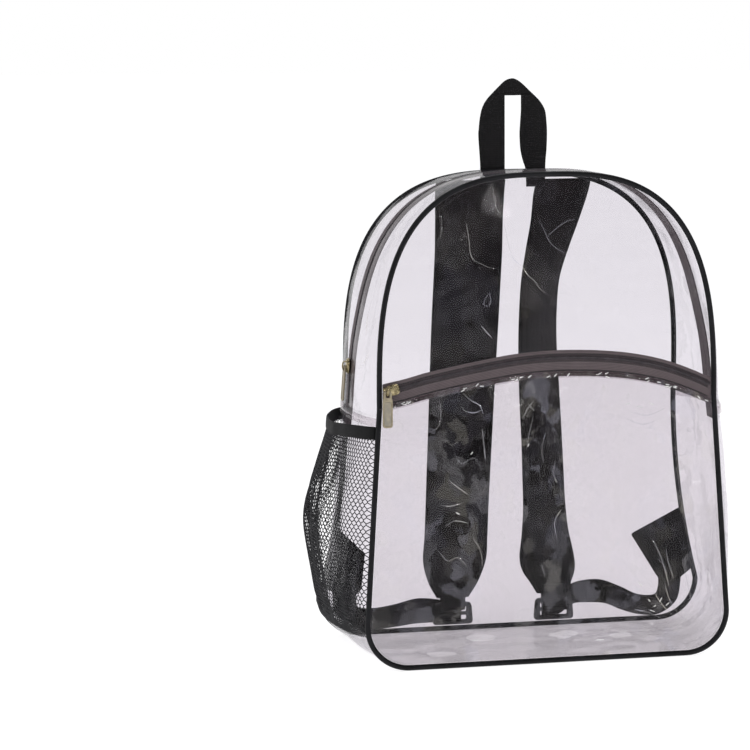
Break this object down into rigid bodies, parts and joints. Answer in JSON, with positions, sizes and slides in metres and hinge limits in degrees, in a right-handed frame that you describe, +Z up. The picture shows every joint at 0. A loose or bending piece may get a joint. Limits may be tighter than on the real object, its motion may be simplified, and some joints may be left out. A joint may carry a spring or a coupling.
{
  "type": "clear backpack",
  "caption": "Clear vinyl school and stadium backpack with dark piping, an arched front pocket zipper, a side net pocket, a grab handle and padded shoulder straps.",
  "frame": {"origin": "on the floor, in the middle of the bag's flat underside", "axes": "+X to the right as seen from the front, +Y towards the back panel and straps, +Z up"},
  "size_m": [0.3556, 0.1849, 0.4705],
  "materials": {
    "clear_vinyl": "clear flexible sheet with a faint grey-lavender cast, soft creases and glossy glints",
    "black_piping": "smooth black vinyl cord, slightly glossy",
    "zipper_tape": "warm dark grey woven zipper tape with ribs along it",
    "zipper_coil": "dark nylon coil teeth",
    "antique_brass": "worn antique brass casting",
    "black_net": "open black polyester net",
    "black_webbing": "black ribbed woven webbing and binding",
    "strap_fabric": "black woven polyester over foam",
    "black_plastic": "moulded black plastic, satin"
  },
  "bodies": {
    "bag": {"front_panel": "clear_vinyl", "pocket_panel": "clear_vinyl", "back_panel": "clear_vinyl", "gusset_lower": "clear_vinyl", "gusset_upper_front": "clear_vinyl", "gusset_upper_rear": "clear_vinyl", "gusset_seam_left": "clear_vinyl", "gusset_seam_right": "clear_vinyl", "front_piping": "black_piping", "back_piping": "black_piping", "pocket_zipper_upper_tape": "zipper_tape", "pocket_zipper_lower_tape": "zipper_tape", "main_zipper_front_tape": "zipper_tape", "main_zipper_rear_tape": "zipper_tape", "pocket_zipper_coil": "zipper_coil", "main_zipper_coil": "zipper_coil", "pocket_slider": "antique_brass", "main_slider": "antique_brass", "mesh_pocket": "black_net", "mesh_pocket_binding": "black_webbing", "grab_handle": "black_webbing", "lock_loop_left": "black_webbing", "lock_loop_right": "black_webbing", "strap_webbing_left": "black_webbing", "strap_webbing_right": "black_webbing", "anchor_tab_left": "black_webbing", "anchor_tab_right": "black_webbing", "shoulder_strap_left": "strap_fabric", "shoulder_strap_right": "strap_fabric", "ladder_lock_left": "black_plastic", "ladder_lock_right": "black_plastic"},
    "pocket_pull": {"pocket_pull": "antique_brass"},
    "main_pull": {"main_pull": "antique_brass"}
  },
  "joints": [
    {"name": "pocket_pull_hinge", "type": "hinge", "parent": "bag", "child": "pocket_pull", "pos_m": [-0.13329, -0.06718, 0.22696], "axis": [-1, 0, 0], "range_deg": [0, 150]},
    {"name": "main_pull_hinge", "type": "hinge", "parent": "bag", "child": "main_pull", "pos_m": [-0.15421, 0.00668, 0.23965], "axis": [-0.0244, 0.9997, 0.0043], "range_deg": [0, 150]}
  ]
}
